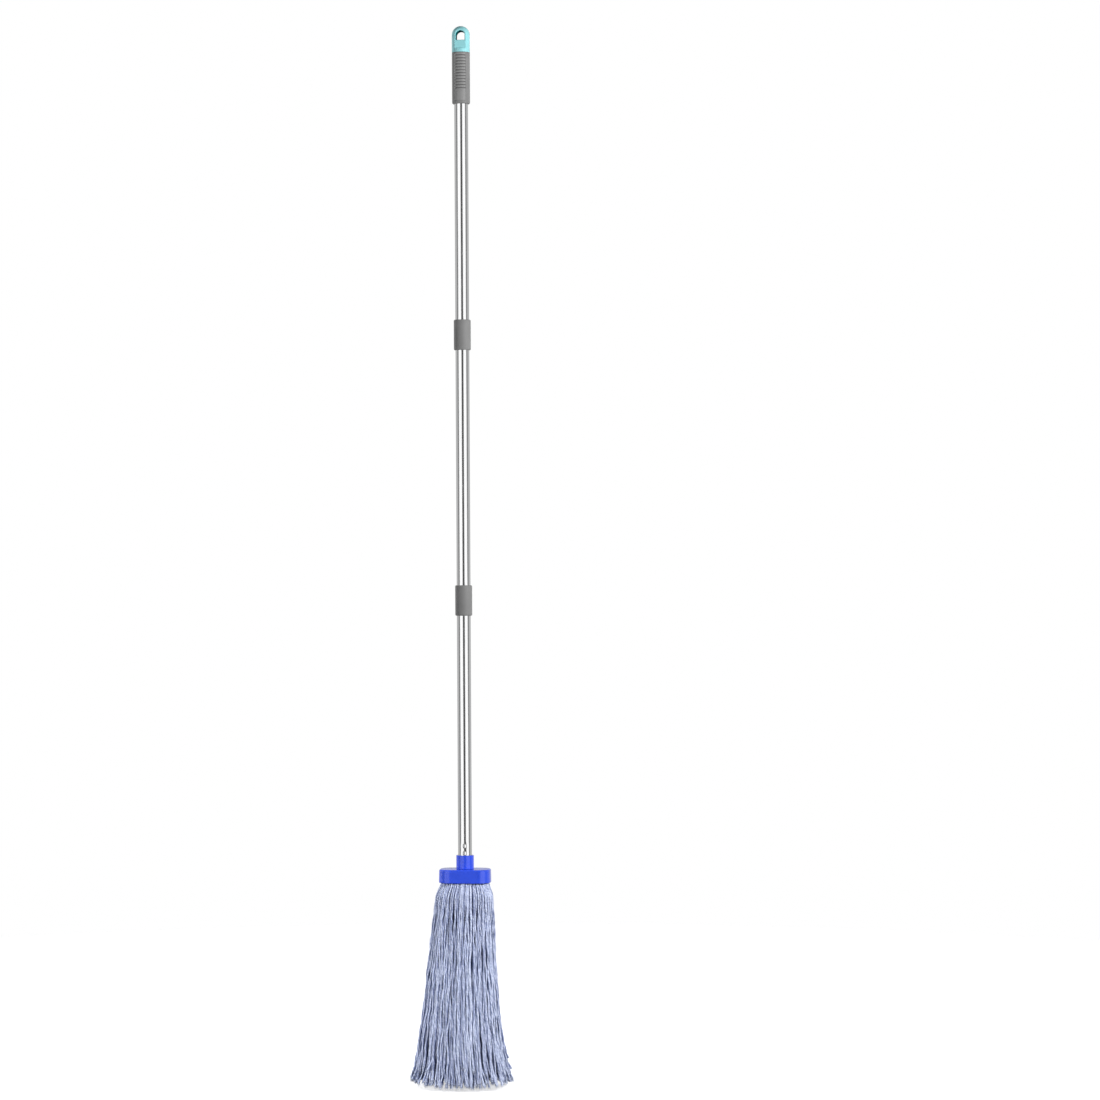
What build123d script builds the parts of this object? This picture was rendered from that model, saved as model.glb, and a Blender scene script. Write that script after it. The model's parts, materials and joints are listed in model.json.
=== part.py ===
from build123d import *

import os

os.makedirs("parts", exist_ok=True)

# String mop. Millimetres, +Z up the pole, X across the wide face of the cap, -Y front.
# The origin lies on the axis of the pole at the height of the lowest yarn tips.

# Heights above the floor
total_height = 1536.6
hanger_base = 1498.2
grip_bottom = 1423.6
upper_joint = 1089.3
lower_joint = 704.9
neck_top = 336.3
head_joint = 332.3
cap_top = 316.3
cap_bottom = 297.0

# Pole tubes
tube_radius = 10.0
tube_wall = 0.5
bore_radius = tube_radius - tube_wall
tube_gap = 1.7  # from a joint plane to the end of the tube on either side of it

# Crimp dimples, two in front and two behind at the bottom end of each tube
dimple_radius = 5.0
dimple_depth = 1.1
dimple_centre = tube_radius + dimple_radius - dimple_depth
dimple_low = tube_gap + 5.5
dimple_high = tube_gap + 16.0

# Screw joints, the same on every section
pitch = 4.0
stud_radius = 5.2
stud_length = 22.0
stud_lead = 1.0  # plain end of the stud below its thread
ridge_turns = 4.5
groove_turns = 7.0
ridge_height = 1.3
ridge_root = 2.2
ridge_tip = 1.2
socket_bore = 5.55
groove_depth = 1.65
groove_root = 2.9
groove_tip = 1.7
thread_bite = 0.3  # how far a thread profile reaches into its core
flange_thickness = 1.5
face_gap = 0.1
plug_radius = 9.4
plug_top = 24.0
plug_hollow = 12.0
socket_length = 30.0
socket_depth = 26.0

# Joint collars
collar_radius = 12.3
collar_length = 44.0
collar_bore = 10.25
collar_round = 1.6

# Grip
grip_radius = 13.0
grip_bore = 10.1
grip_round = 2.0
panel_width = 16.0
panel_bottom = grip_bottom + 4.5
panel_top = hanger_base - 2.5
panel_depth = 0.5
groove_pitch = 4.3
groove_count = 12
groove_top = 1494.4
groove_width = 1.6
groove_sink = 1.2  # from the round surface of the grip

# Hanging cap
hanger_radius = 13.0
hanger_thickness = 20.4
hanger_flat_base = 1503.0
eye_width = 12.9
eye_bottom = 1515.6
eye_height = 13.5
eye_edge = 0.8
spigot_radius = 9.35
spigot_wall = 3.0
spigot_length = 30.0

# Head
neck_radius = 12.75
neck_bore = 11.2
neck_round = 0.9
mouth_radius = 10.3
mouth_height = 2.3
core_radius = 11.0
core_length = 28.0
core_depth = 24.0
core_flange_radius = 16.5
core_flange = 2.0
cap_width = 74.0
cap_depth = 46.0
cap_corner = 17.0
cap_wall = 2.0
cap_roof = 2.4
cap_edge = 2.2
cap_flare = 0.4
boss_radius = 3.6
boss_bottom = 302.6
screw_spacing = 44.0
screw_radius = 1.6
screw_head_radius = 3.1
screw_head_height = 1.8
screw_end_gap = 1.0
cross_length = 3.6
cross_width = 0.8
cross_depth = 0.9
plate_width = 58.0
plate_depth = 30.0
plate_corner = 14.0
plate_bottom = 299.2
plate_thickness = 3.0
plate_round = 1.2
pad_bottom = 302.6
pad_top = 311.3
pad_width = 64.0
pad_depth = 36.0
pad_corner = 16.0
wire_radius = 0.8
wire_height = 306.5
wire_clearance = 0.3

# Yarn skirt: outer and inner outlines as width, depth and corner at three heights
yarn_top = 296.4
bulge_height = 268.0
hem_height = 6.0
top_width = 74.0
top_depth = 46.0
top_corner = 17.0
bulge_width = 88.0
bulge_depth = 58.0
bulge_corner = 22.0
hem_width = 148.0
hem_depth = 100.0
hem_corner = 44.0
lock_thickness_top = 8.0
lock_thickness_bulge = 12.0
lock_thickness_hem = 20.0
core_gap = 1.0
lock_gap = 0.5


def inset_outline(width, depth, corner, inset=0):
    """An oval outline: a rectangle with its corners rounded, drawn in by an inset all round."""
    RectangleRounded(width - 2 * inset, depth - 2 * inset, corner - inset)


# Forms that several pieces share. The joint plane of a screw connection is their z = 0.

with BuildPart() as ridge_form:
    with BuildLine() as ridge_path:
        Helix(
            pitch=pitch,
            height=ridge_turns * pitch,
            radius=stud_radius,
            center=(0, 0, stud_lead - stud_length),
        )
    ridge_plane = Plane(origin=ridge_path.line @ 0, x_dir=(1, 0, 0), z_dir=ridge_path.line % 0)
    with BuildSketch(ridge_plane):
        with BuildLine():
            Polyline(
                (-thread_bite, -ridge_root / 2),
                (ridge_height, -ridge_tip / 2),
                (ridge_height, ridge_tip / 2),
                (-thread_bite, ridge_root / 2),
                close=True,
            )
        make_face()
    sweep(is_frenet=True)

with BuildPart() as groove_form:
    with BuildLine() as groove_path:
        Helix(
            pitch=pitch,
            height=groove_turns * pitch,
            radius=stud_radius,
            center=(0, 0, stud_lead - stud_length - pitch),
        )
    groove_plane = Plane(origin=groove_path.line @ 0, x_dir=(1, 0, 0), z_dir=groove_path.line % 0)
    with BuildSketch(groove_plane):
        with BuildLine():
            Polyline(
                (-thread_bite, -groove_root / 2),
                (groove_depth, -groove_tip / 2),
                (groove_depth, groove_tip / 2),
                (-thread_bite, groove_root / 2),
                close=True,
            )
        make_face()
    sweep(is_frenet=True)

dimple_places = [
    (0, side * dimple_centre, height) for side in (-1, 1) for height in (dimple_low, dimple_high)
]

# Male tip: plug inside the tube, flange under its end, threaded stud below
with BuildPart() as tip_form:
    with BuildSketch(Plane.XY.offset(face_gap)):
        Circle(tube_radius - face_gap)
    extrude(amount=flange_thickness)
    with BuildSketch(Plane.XY.offset(face_gap + flange_thickness)):
        Circle(plug_radius)
    extrude(amount=plug_top - flange_thickness)
    with BuildSketch(Plane.XY.offset(plug_top + face_gap)):
        Circle(stud_radius)
    extrude(amount=-plug_hollow, mode=Mode.SUBTRACT)
    with Locations(*dimple_places):
        Sphere(dimple_radius + tube_wall + face_gap, mode=Mode.SUBTRACT)
    with BuildSketch(Plane.XY.offset(face_gap)):
        Circle(stud_radius)
    extrude(amount=-stud_length)
    add(ridge_form.part)

# Female insert: flange on the end of the tube, plug inside it, threaded bore
with BuildPart() as socket_form:
    with BuildSketch(Plane.XY.offset(-face_gap)):
        Circle(tube_radius - face_gap)
    extrude(amount=-flange_thickness)
    with BuildSketch(Plane.XY.offset(-face_gap - flange_thickness)):
        Circle(plug_radius)
    extrude(amount=-socket_length)
    with BuildSketch(Plane.XY.offset(-face_gap)):
        Circle(socket_bore)
    extrude(amount=-socket_depth, mode=Mode.SUBTRACT)
    add(groove_form.part, mode=Mode.SUBTRACT)

# Joint collar: covers the joint and reaches over the ends of both tubes
with BuildPart() as collar_form:
    with BuildSketch(Plane.XY.offset(-collar_length / 2)):
        Circle(collar_radius)
    extrude(amount=collar_length)
    fillet(collar_form.edges().filter_by(GeomType.CIRCLE), collar_round)
    with BuildSketch(Plane.XY.offset(-collar_length / 2)):
        Circle(collar_bore)
    extrude(amount=collar_length, mode=Mode.SUBTRACT)


def tube_solid(bottom_joint, top):
    """A tube from just above a joint plane to a height, with its crimp dimples pressed in."""
    bottom = bottom_joint + tube_gap
    places = [(x, y, bottom_joint + z) for x, y, z in dimple_places]
    with BuildPart() as bore:
        with BuildSketch(Plane.XY.offset(bottom)):
            Circle(bore_radius)
        extrude(amount=top - bottom)
        with Locations(*places):
            Sphere(dimple_radius + tube_wall, mode=Mode.SUBTRACT)
    with BuildPart() as tube:
        with BuildSketch(Plane.XY.offset(bottom)):
            Circle(tube_radius)
        extrude(amount=top - bottom)
        with Locations(*places):
            Sphere(dimple_radius, mode=Mode.SUBTRACT)
        add(bore.part, mode=Mode.SUBTRACT)
    return tube.part


# Pole

with BuildPart() as upper_tube:
    add(tube_solid(upper_joint, hanger_base - face_gap))
upper_tube.part.label = "upper_tube"
export_step(upper_tube.part, "parts/upper_tube.step")

with BuildPart() as middle_tube:
    add(tube_solid(lower_joint, upper_joint - tube_gap))
middle_tube.part.label = "middle_tube"
export_step(middle_tube.part, "parts/middle_tube.step")

with BuildPart() as lower_tube:
    add(tube_solid(head_joint, lower_joint - tube_gap))
lower_tube.part.label = "lower_tube"
export_step(lower_tube.part, "parts/lower_tube.step")

with BuildPart() as upper_tube_tip:
    with Locations((0, 0, upper_joint)):
        add(tip_form.part)
upper_tube_tip.part.label = "upper_tube_tip"
export_step(upper_tube_tip.part, "parts/upper_tube_tip.step")

with BuildPart() as middle_tube_tip:
    with Locations((0, 0, lower_joint)):
        add(tip_form.part)
middle_tube_tip.part.label = "middle_tube_tip"
export_step(middle_tube_tip.part, "parts/middle_tube_tip.step")

with BuildPart() as lower_tube_tip:
    with Locations((0, 0, head_joint)):
        add(tip_form.part)
lower_tube_tip.part.label = "lower_tube_tip"
export_step(lower_tube_tip.part, "parts/lower_tube_tip.step")

with BuildPart() as upper_joint_socket:
    with Locations((0, 0, upper_joint)):
        add(socket_form.part)
upper_joint_socket.part.label = "upper_joint_socket"
export_step(upper_joint_socket.part, "parts/upper_joint_socket.step")

with BuildPart() as lower_joint_socket:
    with Locations((0, 0, lower_joint)):
        add(socket_form.part)
lower_joint_socket.part.label = "lower_joint_socket"
export_step(lower_joint_socket.part, "parts/lower_joint_socket.step")

with BuildPart() as upper_collar:
    with Locations((0, 0, upper_joint)):
        add(collar_form.part)
upper_collar.part.label = "upper_collar"
export_step(upper_collar.part, "parts/upper_collar.step")

with BuildPart() as lower_collar:
    with Locations((0, 0, lower_joint)):
        add(collar_form.part)
lower_collar.part.label = "lower_collar"
export_step(lower_collar.part, "parts/lower_collar.step")


def grip_band(bottom, height, depth):
    """The front and back bands between two depths of the grip's round surface, to cut away."""
    with BuildPart() as band:
        with BuildSketch(Plane.XY.offset(bottom)):
            Circle(grip_radius + depth)
            Circle(grip_radius - depth, mode=Mode.SUBTRACT)
            Rectangle(panel_width, 2 * (grip_radius + depth), mode=Mode.INTERSECT)
        extrude(amount=height)
    return band.part


grip_cuts = [grip_band(panel_bottom, panel_top - panel_bottom, panel_depth)]
for groove in range(groove_count):
    groove_bottom = groove_top - groove * groove_pitch - groove_width
    grip_cuts.append(grip_band(groove_bottom, groove_width, groove_sink))

# Grip: a sleeve with a sunk, cross-ribbed panel in front and behind and a rounded lower edge
with BuildPart() as grip_sleeve:
    with BuildSketch(Plane.XY.offset(grip_bottom)):
        Circle(grip_radius)
    extrude(amount=hanger_base - face_gap - grip_bottom)
    fillet(grip_sleeve.edges().sort_by(Axis.Z)[0], grip_round)
    with BuildSketch(Plane.XY.offset(grip_bottom)):
        Circle(grip_bore)
    extrude(amount=hanger_base - grip_bottom, mode=Mode.SUBTRACT)
    add(grip_cuts, mode=Mode.SUBTRACT)
grip_sleeve.part.label = "grip_sleeve"
export_step(grip_sleeve.part, "parts/grip_sleeve.step")

# Hanging cap: domed, flat in front and behind, with an arch-shaped eye and a spigot in the tube
with BuildPart() as hanger_cap:
    with BuildSketch(Plane.XY.offset(hanger_base)):
        Circle(hanger_radius)
    extrude(amount=total_height - hanger_radius - hanger_base)
    with Locations((0, 0, total_height - hanger_radius)):
        Sphere(hanger_radius)
    flat_depth = hanger_radius - hanger_thickness / 2
    for side in (-1, 1):
        with Locations((0, side * (hanger_thickness / 2 + flat_depth), hanger_flat_base)):
            Box(
                2 * hanger_radius,
                2 * flat_depth,
                total_height - hanger_flat_base,
                align=(Align.CENTER, Align.CENTER, Align.MIN),
                mode=Mode.SUBTRACT,
            )
    with BuildSketch(Plane.XZ):
        with Locations((0, eye_bottom + eye_height - eye_width / 2)):
            Circle(eye_width / 2)
        with Locations((0, eye_bottom)):
            Rectangle(eye_width, eye_height - eye_width / 2, align=(Align.CENTER, Align.MIN))
    extrude(amount=hanger_radius, both=True, mode=Mode.SUBTRACT)
    eye_faces = hanger_cap.faces().filter_by(Axis.Y).sort_by(Axis.Y)
    eye_rims = [face.inner_wires()[0].edges() for face in (eye_faces[0], eye_faces[-1])]
    fillet(eye_rims[0] + eye_rims[1], eye_edge)
    with BuildSketch(Plane.XY.offset(hanger_base)):
        Circle(spigot_radius)
    extrude(amount=-spigot_length)
    with BuildSketch(Plane.XY.offset(hanger_base - spigot_length)):
        Circle(spigot_radius - spigot_wall)
    extrude(amount=spigot_length, mode=Mode.SUBTRACT)
hanger_cap.part.label = "hanger_cap"
export_step(hanger_cap.part, "parts/hanger_cap.step")

# Head

# Neck sleeve: slides over the threaded core, its mouth takes the end of the lower tube
with BuildPart() as neck_ferrule:
    with BuildSketch(Plane.XY.offset(cap_top + face_gap)):
        Circle(neck_radius)
    extrude(amount=neck_top - cap_top - face_gap)
    fillet(neck_ferrule.edges().sort_by(Axis.Z)[-1], neck_round)
    with BuildSketch(Plane.XY.offset(cap_top)):
        Circle(neck_bore)
    extrude(amount=neck_top - mouth_height - tube_gap - cap_top, mode=Mode.SUBTRACT)
    with BuildSketch(Plane.XY.offset(cap_top)):
        Circle(mouth_radius)
    extrude(amount=neck_top - cap_top, mode=Mode.SUBTRACT)
neck_ferrule.part.label = "neck_ferrule"
export_step(neck_ferrule.part, "parts/neck_ferrule.step")

with BuildPart() as core_groove:
    with Locations((0, 0, head_joint)):
        add(groove_form.part)
    split(bisect_by=Plane.XY.offset(head_joint - core_depth), keep=Keep.TOP)

# Socket core: threaded tube with a closed bottom, held under the roof of the cap by its flange
with BuildPart() as socket_core:
    with BuildSketch(Plane.XY.offset(head_joint - face_gap)):
        Circle(core_radius)
    extrude(amount=-core_length)
    with BuildSketch(Plane.XY.offset(cap_top - cap_roof - face_gap)):
        Circle(core_flange_radius)
    extrude(amount=-core_flange)
    with BuildSketch(Plane.XY.offset(head_joint - face_gap)):
        Circle(socket_bore)
    extrude(amount=-core_depth, mode=Mode.SUBTRACT)
    add(core_groove.part, mode=Mode.SUBTRACT)
socket_core.part.label = "socket_core"
export_step(socket_core.part, "parts/socket_core.step")

# Cap: an oval shell with rounded upper edge, a hole for the core and two screw bosses
with BuildPart() as mop_cap:
    with BuildSketch(Plane.XY.offset(cap_bottom)):
        inset_outline(cap_width, cap_depth, cap_corner, -cap_flare)
    with BuildSketch(Plane.XY.offset(cap_top)):
        inset_outline(cap_width, cap_depth, cap_corner)
    loft()
    fillet(mop_cap.faces().sort_by(Axis.Z)[-1].edges(), cap_edge)
    with BuildSketch(Plane.XY.offset(cap_bottom)):
        inset_outline(cap_width, cap_depth, cap_corner, cap_wall)
    extrude(amount=cap_top - cap_roof - cap_bottom, mode=Mode.SUBTRACT)
    with BuildSketch(Plane.XY.offset(cap_bottom)):
        Circle(core_radius + face_gap)
    extrude(amount=cap_top - cap_bottom, mode=Mode.SUBTRACT)
    with BuildSketch(Plane.XY.offset(boss_bottom)):
        with GridLocations(screw_spacing, 1, 2, 1):
            Circle(boss_radius)
            Circle(screw_radius + face_gap, mode=Mode.SUBTRACT)
    extrude(amount=cap_top - cap_roof - boss_bottom)
mop_cap.part.label = "mop_cap"
export_step(mop_cap.part, "parts/mop_cap.step")

with BuildPart() as yarn_clamp_plate:
    with BuildSketch(Plane.XY.offset(plate_bottom)):
        inset_outline(plate_width, plate_depth, plate_corner)
        with GridLocations(screw_spacing, 1, 2, 1):
            Circle(screw_radius + face_gap, mode=Mode.SUBTRACT)
    extrude(amount=plate_thickness)
    fillet(yarn_clamp_plate.faces().sort_by(Axis.Z)[0].outer_wire().edges(), plate_round)
yarn_clamp_plate.part.label = "yarn_clamp_plate"
export_step(yarn_clamp_plate.part, "parts/yarn_clamp_plate.step")

with BuildPart() as clamp_screws:
    with BuildSketch(Plane.XY.offset(plate_bottom - face_gap)):
        with GridLocations(screw_spacing, 1, 2, 1):
            Circle(screw_head_radius)
    extrude(amount=-screw_head_height)
    with BuildSketch(Plane.XY.offset(plate_bottom - face_gap)):
        with GridLocations(screw_spacing, 1, 2, 1):
            Circle(screw_radius)
    extrude(amount=cap_top - cap_roof - plate_bottom - screw_end_gap)
    with BuildSketch(Plane.XY.offset(plate_bottom - face_gap - screw_head_height)):
        with GridLocations(screw_spacing, 1, 2, 1):
            Rectangle(cross_length, cross_width)
            Rectangle(cross_width, cross_length)
    extrude(amount=cross_depth, mode=Mode.SUBTRACT)
clamp_screws.part.label = "clamp_screws"
export_step(clamp_screws.part, "parts/clamp_screws.step")

# Root pad: the folded roots of the yarn, pressed between the plate and the roof of the cap
with BuildPart() as yarn_root_pad:
    with BuildSketch(Plane.XY.offset(pad_bottom)):
        inset_outline(pad_width, pad_depth, pad_corner)
        Circle(core_radius + core_gap, mode=Mode.SUBTRACT)
        with GridLocations(screw_spacing, 1, 2, 1):
            Circle(boss_radius + core_gap / 2, mode=Mode.SUBTRACT)
    extrude(amount=pad_top - pad_bottom)
yarn_root_pad.part.label = "yarn_root_pad"
export_step(yarn_root_pad.part, "parts/yarn_root_pad.step")

# Binding wire: a closed loop round the root pad
wire_offset = wire_radius + wire_clearance
wire_outline = RectangleRounded(
    pad_width + 2 * wire_offset, pad_depth + 2 * wire_offset, pad_corner + wire_offset
)
wire_loop = wire_outline.wire().moved(Location((0, 0, wire_height)))
with BuildPart() as yarn_binding_wire:
    with BuildSketch(Plane(origin=wire_loop @ 0, z_dir=wire_loop % 0)):
        Circle(wire_radius)
    sweep(path=wire_loop)
yarn_binding_wire.part.label = "yarn_binding_wire"
export_step(yarn_binding_wire.part, "parts/yarn_binding_wire.step")

# Yarn

# Inner bundle, clear of the locks all round
with BuildPart() as yarn_core:
    with BuildSketch(Plane.XY.offset(yarn_top)):
        inset_outline(top_width, top_depth, top_corner, lock_thickness_top + core_gap)
    with BuildSketch(Plane.XY.offset(bulge_height)):
        inset_outline(bulge_width, bulge_depth, bulge_corner, lock_thickness_bulge + core_gap)
    with BuildSketch(Plane.XY):
        inset_outline(hem_width, hem_depth, hem_corner, lock_thickness_hem + core_gap)
    loft(ruled=True)
yarn_core.part.label = "yarn_core"
export_step(yarn_core.part, "parts/yarn_core.step")

# Skirt: the whole outer ring of yarn, which the locks are cut from
with BuildPart() as hollow_form:
    with BuildSketch(Plane.XY.offset(yarn_top)):
        inset_outline(top_width, top_depth, top_corner, lock_thickness_top)
    with BuildSketch(Plane.XY.offset(bulge_height)):
        inset_outline(bulge_width, bulge_depth, bulge_corner, lock_thickness_bulge)
    with BuildSketch(Plane.XY):
        inset_outline(hem_width, hem_depth, hem_corner, lock_thickness_hem)
    loft(ruled=True)

with BuildPart() as skirt_form:
    with BuildSketch(Plane.XY.offset(yarn_top)):
        inset_outline(top_width, top_depth, top_corner)
    with BuildSketch(Plane.XY.offset(bulge_height)):
        inset_outline(bulge_width, bulge_depth, bulge_corner)
    with BuildSketch(Plane.XY.offset(hem_height)):
        inset_outline(hem_width, hem_depth, hem_corner)
    loft(ruled=True)
    add(hollow_form.part, mode=Mode.SUBTRACT)

# Each lock fills a sector between two upright planes that spread outward from the corner centres
# of the oval, or from the middle of a long side. A lock has a position along X and Y for each
# plane, in corner centres, and the direction of each plane in degrees from +X.
corner_x = top_width / 2 - top_corner
corner_y = top_depth / 2 - top_corner
lock_sectors = {
    "yarn_lock_right": ((1, -1, -22.5), (1, 1, 22.5)),
    "yarn_lock_right_back": ((1, 1, 22.5), (1, 1, 67.5)),
    "yarn_lock_back_right": ((1, 1, 67.5), (0, 1, 90)),
    "yarn_lock_back_left": ((0, 1, 90), (-1, 1, 112.5)),
    "yarn_lock_left_back": ((-1, 1, 112.5), (-1, 1, 157.5)),
    "yarn_lock_left": ((-1, 1, 157.5), (-1, -1, 202.5)),
    "yarn_lock_left_front": ((-1, -1, 202.5), (-1, -1, 247.5)),
    "yarn_lock_front_left": ((-1, -1, 247.5), (0, -1, 270)),
    "yarn_lock_front_right": ((0, -1, 270), (1, -1, 292.5)),
    "yarn_lock_right_front": ((1, -1, 292.5), (1, -1, 337.5)),
}


def sector_side(across, along, degrees, inward):
    """The upright plane of a sector's side, set in by the gap, facing into the sector."""
    facing = Vector(0, inward).rotate(Axis.Z, degrees)
    return Plane(origin=Vector(across * corner_x, along * corner_y) + facing * lock_gap, z_dir=facing)


for lock_name, (start_side, end_side) in lock_sectors.items():
    middle = (start_side[2] + end_side[2]) / 2
    with BuildPart() as lock:
        add(skirt_form.part)
        split(bisect_by=Plane(origin=(0, 0, 0), z_dir=Vector(1, 0).rotate(Axis.Z, middle)))
        split(bisect_by=sector_side(*start_side, inward=1))
        split(bisect_by=sector_side(*end_side, inward=-1))
    lock.part.label = lock_name
    export_step(lock.part, f"parts/{lock_name}.step")
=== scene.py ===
import json
import math

import bpy
import numpy as np
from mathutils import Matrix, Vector


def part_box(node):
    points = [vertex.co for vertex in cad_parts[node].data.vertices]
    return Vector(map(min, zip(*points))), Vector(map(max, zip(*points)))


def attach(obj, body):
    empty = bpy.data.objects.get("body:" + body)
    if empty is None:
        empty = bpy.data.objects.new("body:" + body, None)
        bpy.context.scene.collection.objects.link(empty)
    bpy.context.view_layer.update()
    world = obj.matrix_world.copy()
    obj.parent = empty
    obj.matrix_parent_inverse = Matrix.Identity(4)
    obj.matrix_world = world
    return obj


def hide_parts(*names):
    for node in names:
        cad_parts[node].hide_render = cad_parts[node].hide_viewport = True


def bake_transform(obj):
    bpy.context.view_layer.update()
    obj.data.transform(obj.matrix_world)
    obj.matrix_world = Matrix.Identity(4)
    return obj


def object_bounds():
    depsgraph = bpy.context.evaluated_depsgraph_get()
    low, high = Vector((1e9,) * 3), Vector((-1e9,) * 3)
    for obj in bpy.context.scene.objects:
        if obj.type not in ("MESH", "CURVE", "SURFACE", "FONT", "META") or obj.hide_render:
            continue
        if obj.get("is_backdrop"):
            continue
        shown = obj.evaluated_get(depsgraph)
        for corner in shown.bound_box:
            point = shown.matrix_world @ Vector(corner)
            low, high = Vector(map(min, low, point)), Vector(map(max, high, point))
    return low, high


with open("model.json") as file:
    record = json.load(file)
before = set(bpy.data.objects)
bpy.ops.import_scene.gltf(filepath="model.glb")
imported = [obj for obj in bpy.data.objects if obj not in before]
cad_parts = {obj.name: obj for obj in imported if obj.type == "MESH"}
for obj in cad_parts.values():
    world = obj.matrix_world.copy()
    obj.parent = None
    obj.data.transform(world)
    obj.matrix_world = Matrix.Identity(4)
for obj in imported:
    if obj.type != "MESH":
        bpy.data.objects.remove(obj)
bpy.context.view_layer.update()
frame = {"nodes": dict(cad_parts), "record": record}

MM = 0.001
SEED = 5
nodes = frame["nodes"]
joints = {j["name"]: j for j in frame["record"]["behaviour"]["joints"]}
bodies = frame["record"]["behaviour"]["bodies"]
rng = np.random.default_rng(SEED)


# ---------------------------------------------------------------- mesh helpers


def make_object(name, verts, faces, smooth_angle=40.0):
    """A mesh object from points in metres, smooth up to an angle between faces."""
    mesh = bpy.data.meshes.new(name)
    mesh.from_pydata([tuple(v) for v in verts], [], [tuple(f) for f in faces])
    mesh.update()
    obj = bpy.data.objects.new(name, mesh)
    bpy.context.scene.collection.objects.link(obj)
    mesh.shade_smooth()
    if smooth_angle < 180:
        mesh.set_sharp_from_angle(angle=math.radians(smooth_angle))
    return obj


def grid_faces(rows, columns, closed_rows=False):
    """Quads between rows of points; each row is a closed ring of columns."""
    r = np.arange(rows if closed_rows else rows - 1)
    c = np.arange(columns)
    a = r[:, None] * columns + c
    b = r[:, None] * columns + (c + 1) % columns
    d = ((r[:, None] + 1) % rows) * columns + c
    e = ((r[:, None] + 1) % rows) * columns + (c + 1) % columns
    return np.stack([a, b, e, d], -1).reshape(-1, 4).tolist()


def rounded_profile(points, steps=6):
    """A closed outline of (r, z, corner radius) with each corner turned into an arc."""
    out = []
    count = len(points)
    for i, (r, z, radius) in enumerate(points):
        p = np.array([r, z])
        a = np.array(points[i - 1][:2]) - p
        b = np.array(points[(i + 1) % count][:2]) - p
        a_unit, b_unit = a / np.linalg.norm(a), b / np.linalg.norm(b)
        if radius <= 0:
            out.append(tuple(p))
            continue
        half = math.acos(max(-1, min(1, float(a_unit @ b_unit)))) / 2
        reach = radius / math.tan(half)
        middle = (a_unit + b_unit) / np.linalg.norm(a_unit + b_unit)
        centre = p + middle * radius / math.sin(half)
        start, end = p + a_unit * reach - centre, p + b_unit * reach - centre
        sweep = math.pi - 2 * half
        side = np.sign(start[0] * end[1] - start[1] * end[0])
        for k in range(steps + 1):
            t = side * sweep * k / steps
            turn = np.array([[math.cos(t), -math.sin(t)], [math.sin(t), math.cos(t)]])
            out.append(tuple(centre + turn @ start))
    return out


def refine(profile, longest, beyond=0.0):
    """Adds points so that no stretch is longer than a length, where it lies beyond a radius."""
    out = []
    for i, p in enumerate(profile):
        q = profile[(i + 1) % len(profile)]
        steps = 1
        if min(p[0], q[0]) > beyond:
            steps = max(1, int(math.dist(p, q) / longest))
        for k in range(steps):
            out.append((p[0] + (q[0] - p[0]) * k / steps, p[1] + (q[1] - p[1]) * k / steps))
    return out


def lathe(name, profile, segments=128, shape=None, smooth_angle=40.0):
    """A closed outline of (r, z) in millimetres turned about the pole. shape moves the points,
    given them and their radii."""
    profile = np.array(profile)
    angles = np.linspace(0, 2 * math.pi, segments, endpoint=False)
    r, z = profile[:, 0][:, None], profile[:, 1][:, None]
    points = np.stack([r * np.cos(angles), r * np.sin(angles), z + 0 * angles], -1)
    if shape is not None:
        points = shape(points, r + 0 * angles)
    faces = grid_faces(len(profile), segments, closed_rows=True)
    return make_object(name, points.reshape(-1, 3) * MM, faces, smooth_angle)


def smoothstep(low, high, x):
    """0 below low, 1 above high, and a soft step between them."""
    t = np.clip((x - low) / (high - low), 0, 1)
    return t * t * (3 - 2 * t)


def oval_ring(width, depth, corner, count):
    """Points evenly spaced round an oval with rounded corners, from the middle of the front."""
    half_x, half_y = width / 2, depth / 2
    straight_x, straight_y = half_x - corner, half_y - corner
    arc = math.pi / 2 * corner
    side, back = 2 * straight_y, 2 * straight_x
    lengths = [straight_x, arc, side, arc, back, arc, side, arc, straight_x]
    total = sum(lengths)
    ends = np.cumsum(lengths)
    points = []
    for s in np.arange(count) * total / count:
        k = int(np.searchsorted(ends, s, side="right"))
        t = s - (ends[k - 1] if k else 0)
        turn = t / corner if corner > 0 else 0
        bend_sin, bend_cos = corner * math.sin(turn), corner * math.cos(turn)
        if k == 0:
            points.append((t, -half_y))
        elif k == 1:
            points.append((straight_x + bend_sin, -straight_y - bend_cos))
        elif k == 2:
            points.append((half_x, -straight_y + t))
        elif k == 3:
            points.append((straight_x + bend_cos, straight_y + bend_sin))
        elif k == 4:
            points.append((straight_x - t, half_y))
        elif k == 5:
            points.append((-straight_x - bend_sin, straight_y + bend_cos))
        elif k == 6:
            points.append((-half_x, straight_y - t))
        elif k == 7:
            points.append((-straight_x - bend_cos, -straight_y - bend_sin))
        else:
            points.append((-straight_x + t, -half_y))
    return np.array(points)


# ---------------------------------------------------------------- materials


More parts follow.
